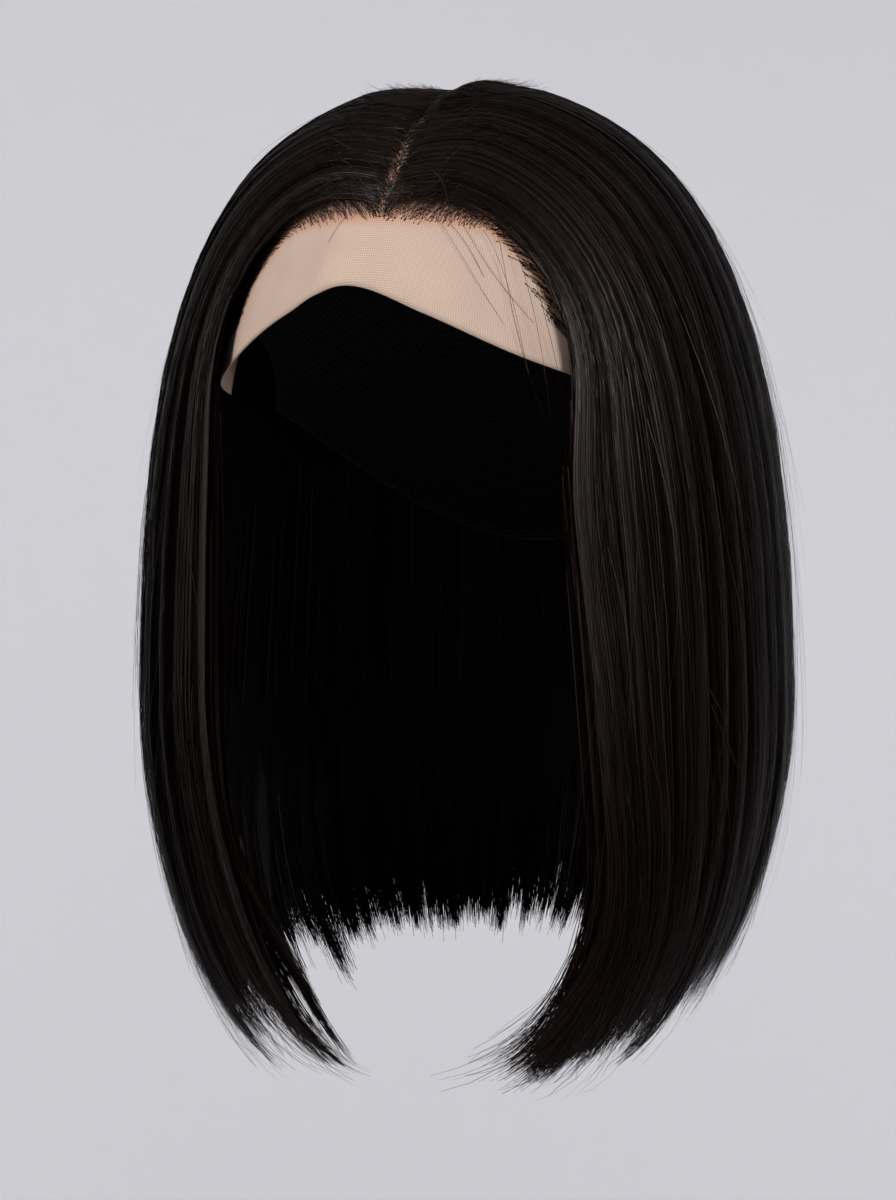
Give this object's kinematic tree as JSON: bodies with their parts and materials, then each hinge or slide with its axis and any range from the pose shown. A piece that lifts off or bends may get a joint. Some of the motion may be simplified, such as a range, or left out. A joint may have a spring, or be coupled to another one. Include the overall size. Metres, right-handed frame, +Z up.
{
  "type": "lace front wig",
  "caption": "Straight bob wig with a centre part: hair tied to a net lace front and a plain net cap, hollow for a head, with an open face.",
  "frame": {"origin": "inside of the crown, on the middle plane, where the top of the head bears", "axes": "+Z up, the face opening looks along -Y, +X to the wearer's left"},
  "size_m": [0.2176, 0.2101, 0.3197],
  "materials": {
    "lace": "fine flesh-coloured net, matte",
    "cap": "black stretch net, matte",
    "hair": "straight off-black hair with a soft sheen"
  },
  "bodies": {
    "root": {"lace_front": "lace", "cap_net": "cap", "hair_left": "hair", "hair_right": "hair", "hair_back": "hair"}
  },
  "joints": []
}
